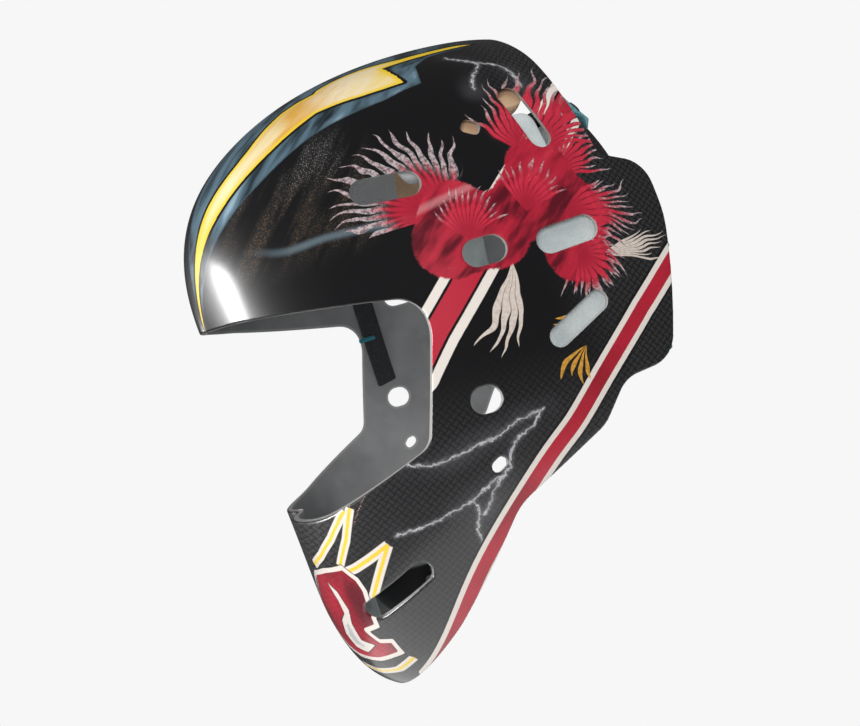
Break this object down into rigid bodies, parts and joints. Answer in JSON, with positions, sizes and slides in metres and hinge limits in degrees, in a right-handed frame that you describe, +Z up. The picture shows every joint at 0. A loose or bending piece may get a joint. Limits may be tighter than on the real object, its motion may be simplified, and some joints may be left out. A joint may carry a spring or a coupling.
{
  "type": "goalie mask",
  "caption": "One-piece hockey goalie mask shell with vents, harness slots and eye port, lined with pads, with a removable chin cup and a sprung back plate.",
  "frame": {"origin": "centre of the wearer's head, between the ears", "axes": "+Z up through the crown, -Y where the face looks, +X the wearer's left"},
  "size_m": [0.202, 0.218, 0.285],
  "materials": {
    "painted_shell": "gloss lacquer over carbon weave, airbrushed",
    "tan_foam": "closed cell foam, matt",
    "terry": "terry cloth",
    "grey_foam": "foam with brushed cover",
    "hook_tape": "hook tape",
    "teal_ribbon": "woven ribbon",
    "teal_elastic": "woven elastic",
    "black_webbing": "woven webbing",
    "black_plastic": "moulded, fine grain",
    "snap_metal": "nickel plated"
  },
  "bodies": {
    "mask": {"shell": "painted_shell", "forehead_pad": "grey_foam", "sweatband": "terry", "crown_pad": "tan_foam", "chin_pad": "grey_foam", "side_pad_left": "grey_foam", "side_pad_right": "grey_foam", "jaw_pad_left": "grey_foam", "jaw_pad_right": "grey_foam", "hook_tape_left": "hook_tape", "hook_tape_right": "hook_tape", "tape_pull_tab": "teal_ribbon", "chin_snap_posts": "black_plastic", "harness_snap_caps": "snap_metal", "crown_strap_left": "teal_elastic", "crown_strap_right": "teal_elastic", "side_strap_left": "teal_elastic", "side_strap_right": "teal_elastic", "neck_strap_left": "teal_elastic", "neck_strap_right": "teal_elastic"},
    "back_plate": {"back_plate": "black_plastic", "back_plate_pad": "grey_foam", "back_plate_rivets": "snap_metal"},
    "chin_cup": {"chin_cup": "black_plastic", "chin_cup_liner": "tan_foam", "chin_snap_sockets": "snap_metal", "chin_snap_caps": "snap_metal", "chin_cup_rivets": "snap_metal", "chin_strap_left": "black_webbing", "chin_strap_right": "black_webbing"}
  },
  "joints": [
    {"name": "back_plate_swing", "type": "hinge", "parent": "mask", "child": "back_plate", "pos_m": [0, 0.0403, 0.08], "axis": [1, 0, 0], "range_deg": [0, 22], "stiffness_Nm_per_rad": 1.2, "deforming": ["crown_strap_left", "crown_strap_right", "side_strap_left", "side_strap_right", "neck_strap_left", "neck_strap_right"]},
    {"name": "chin_cup_swing", "type": "hinge", "parent": "mask", "child": "chin_cup", "pos_m": [0, -0.058, -0.087], "axis": [1, 0, 0], "range_deg": [-12, 18]}
  ]
}
